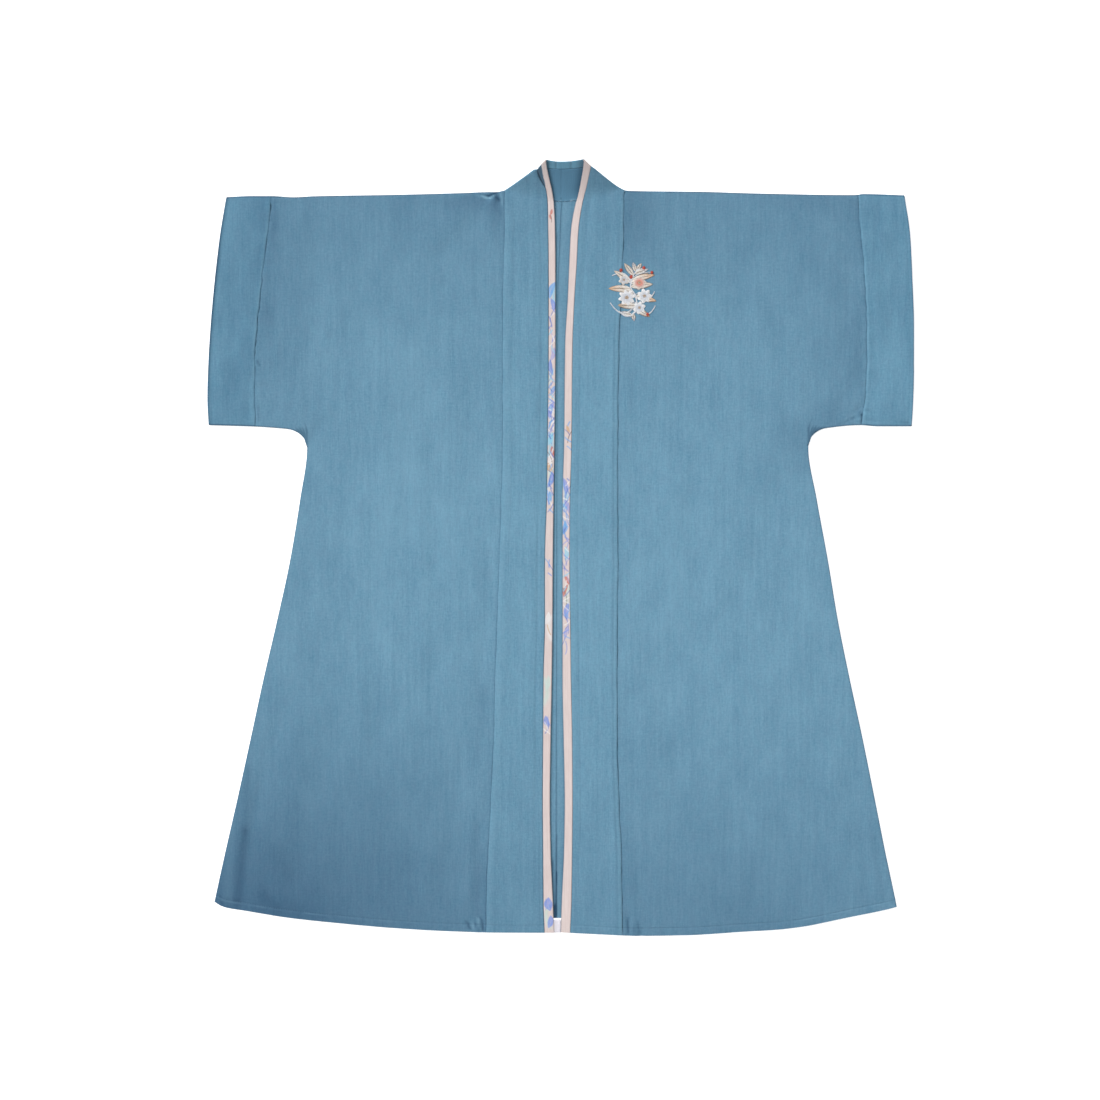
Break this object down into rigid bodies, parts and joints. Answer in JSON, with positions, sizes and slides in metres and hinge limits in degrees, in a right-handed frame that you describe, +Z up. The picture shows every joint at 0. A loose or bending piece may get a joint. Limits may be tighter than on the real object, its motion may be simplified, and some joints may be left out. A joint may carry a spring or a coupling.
{
  "type": "hanfu jacket laid flat",
  "caption": "Straight-fronted half-sleeve hanfu jacket laid flat, with collar bands, printed front edgings and an embroidered flower spray.",
  "frame": {"origin": "centre of the garment's outline, on the surface it lies on", "axes": "+Y towards the neck, +X to the right as seen from above with the front up, +Z up from the surface"},
  "size_m": [0.9582, 1.0469, 0.0329],
  "materials": {
    "body_cloth": "matt plain weave, grey-blue, slightly slubbed",
    "sleeve_band": "matt plain weave, grey-blue, a little darker",
    "collar_band": "matt plain weave, grey-blue, doubled and pressed",
    "printed_edging": "smooth pale pink cloth, printed in places in blue, lilac and ochre",
    "embroidery": "satin-stitch thread, raised, cream, beige, coral and tan"
  },
  "bodies": {
    "root": {"body_left": "body_cloth", "body_right": "body_cloth", "cuff_left": "sleeve_band", "cuff_right": "sleeve_band", "collar_left": "collar_band", "collar_right": "collar_band", "edging_left": "printed_edging", "edging_right": "printed_edging", "flower_spray": "embroidery"}
  },
  "joints": []
}
